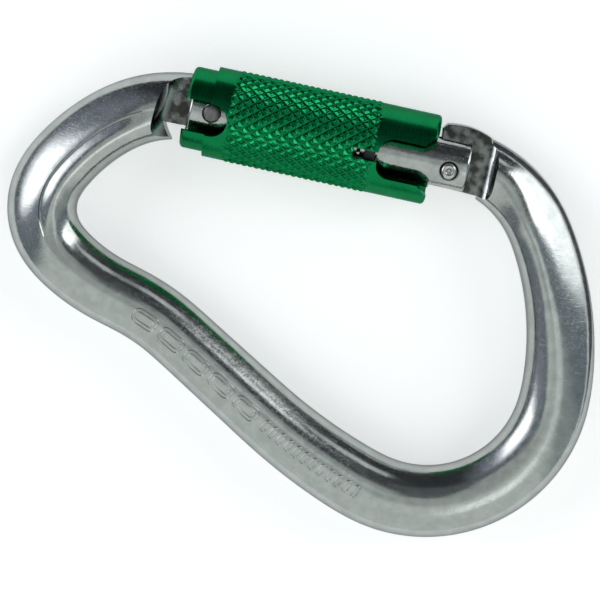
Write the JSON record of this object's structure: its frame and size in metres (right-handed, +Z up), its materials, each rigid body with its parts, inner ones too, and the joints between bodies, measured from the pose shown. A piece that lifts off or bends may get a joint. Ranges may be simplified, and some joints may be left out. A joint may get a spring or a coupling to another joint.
{
  "type": "locking carabiner",
  "caption": "Offset locking carabiner: bent rod body with a wide and a narrow basket, sprung solid gate on a riveted hinge, and a knurled quarter-turn locking sleeve.",
  "frame": {"origin": "under the middle of the outline, at the height of the sleeve's lowest point when the body lies level", "axes": "+X along the gate from its hinge to the nose, +Y away from the spine, +Z up out of the face of the body"},
  "size_m": [0.1129, 0.0778, 0.0169],
  "materials": {
    "polished_body": "tumbled and polished, with fine handling marks",
    "polished_gate": "polished, with fine handling marks",
    "rivet_steel": "bright, pressed",
    "spring_steel": "drawn wire",
    "green_anodised": "green anodised, satin, knurled in the middle",
    "black_acetal": "turned acetal"
  },
  "bodies": {
    "body": {"body": "polished_body"},
    "gate": {"gate": "polished_gate", "hinge_pin": "rivet_steel", "latch_pin": "rivet_steel", "stop_pin": "rivet_steel", "gate_spring": "spring_steel"},
    "plunger": {"gate_plunger": "rivet_steel"},
    "sleeve": {"locking_sleeve": "green_anodised", "sleeve_spring": "spring_steel", "hinge_end_bush": "black_acetal", "nose_end_bush": "black_acetal"}
  },
  "joints": [
    {"name": "gate_swing", "type": "hinge", "parent": "body", "child": "gate", "pos_m": [-0.0225, 0.0305, 0.00845], "axis": [0, 0, -1], "range_deg": [0, 25], "stiffness_Nm_per_rad": 0.2, "springref_deg": -68.75},
    {"name": "plunger_slide", "type": "slide", "parent": "gate", "child": "plunger", "axis": [1, 0, 0], "range_m": [0, 0.0009], "deforming": ["gate_spring"]},
    {"name": "sleeve_twist", "type": "hinge", "parent": "gate", "child": "sleeve", "pos_m": [-0.0225, 0.0305, 0.00845], "axis": [1, 0, 0], "range_deg": [0, 82], "stiffness_Nm_per_rad": 0.02, "springref_deg": -45.84, "deforming": ["sleeve_spring"]}
  ],
  "couplings": [
    {"joint": "plunger_slide", "follows": "gate_swing", "m_per_rad": 0.00206}
  ]
}
